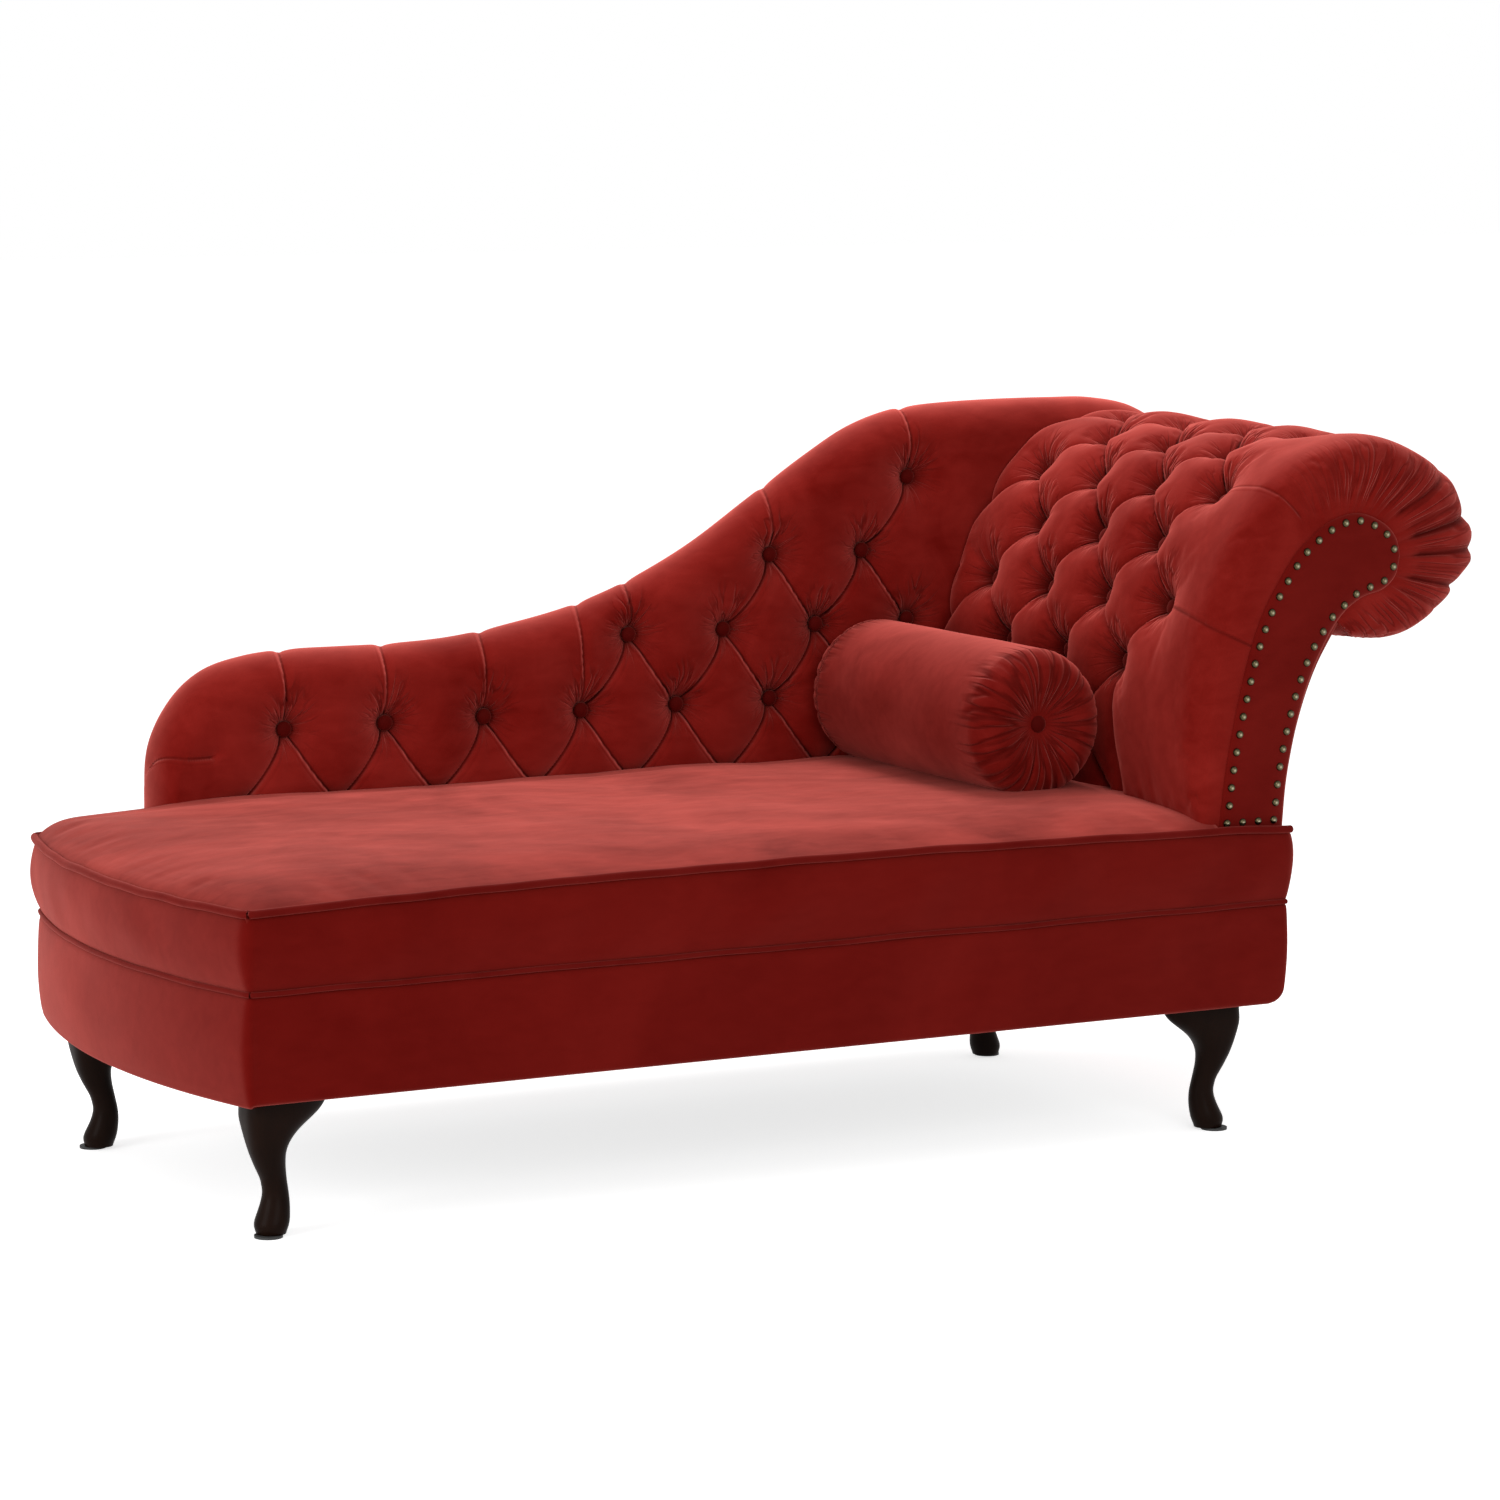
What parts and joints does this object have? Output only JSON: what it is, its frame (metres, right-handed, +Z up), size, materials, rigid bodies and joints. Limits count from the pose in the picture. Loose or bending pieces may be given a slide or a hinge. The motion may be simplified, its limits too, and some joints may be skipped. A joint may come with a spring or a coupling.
{
  "type": "recamier",
  "caption": "One-ended couch with a bowed foot, a rolled and buttoned scroll arm at the head, a swept buttoned back, cabriole legs and a loose bolster.",
  "frame": {"origin": "middle of the bounding box on the floor, at the underside of the glides", "axes": "+X along the length from the bowed foot towards the scroll arm, +Y from the open front to the back, +Z up"},
  "size_m": [1.825, 0.783, 0.9064],
  "materials": {
    "velvet": "cut pile velvet with a soft nap",
    "antique_brass": "darkened antique brass, domed",
    "dark_wood": "dark espresso stain, satin",
    "timber": "planed, unfinished",
    "plywood": "sanded, unfinished",
    "steel": "zinc plated",
    "glide": "matt",
    "webbing": "woven strap",
    "dust_cloth": "thin non-woven cloth"
  },
  "bodies": {
    "couch": {"border_front": "velvet", "border_back": "velvet", "border_foot": "velvet", "border_head": "velvet", "band_front": "velvet", "band_back": "velvet", "band_foot": "velvet", "band_head": "velvet", "seat_welt": "velvet", "seat_pad": "velvet", "arm_pad": "velvet", "arm_buttons": "velvet", "arm_facing": "velvet", "arm_outer_cover": "velvet", "back_pad": "velvet", "back_buttons": "velvet", "back_cover": "velvet", "nailheads": "antique_brass", "leg_front_foot": "dark_wood", "leg_front_head": "dark_wood", "leg_back_foot": "dark_wood", "leg_back_head": "dark_wood", "leg_glides": "glide", "leg_bolts": "steel", "back_bolts": "steel", "corner_blocks": "timber", "foot_rail": "timber", "head_rail": "timber", "front_rail": "timber", "back_rail": "timber", "cross_rail_1": "timber", "cross_rail_2": "timber", "cross_rail_3": "timber", "back_bottom_rail": "timber", "back_posts": "timber", "back_board": "plywood", "arm_board": "plywood", "arm_rib_front": "plywood", "arm_rib_middle": "plywood", "arm_rib_rear": "plywood", "arm_lining": "plywood", "seat_webbing": "webbing", "dust_cover": "dust_cloth"},
    "bolster": {"bolster": "velvet", "bolster_buttons": "velvet"}
  },
  "joints": [
    {"name": "bolster_lift", "type": "slide", "parent": "couch", "child": "bolster", "axis": [0, 0, 1], "range_m": [0, 0.45]}
  ]
}
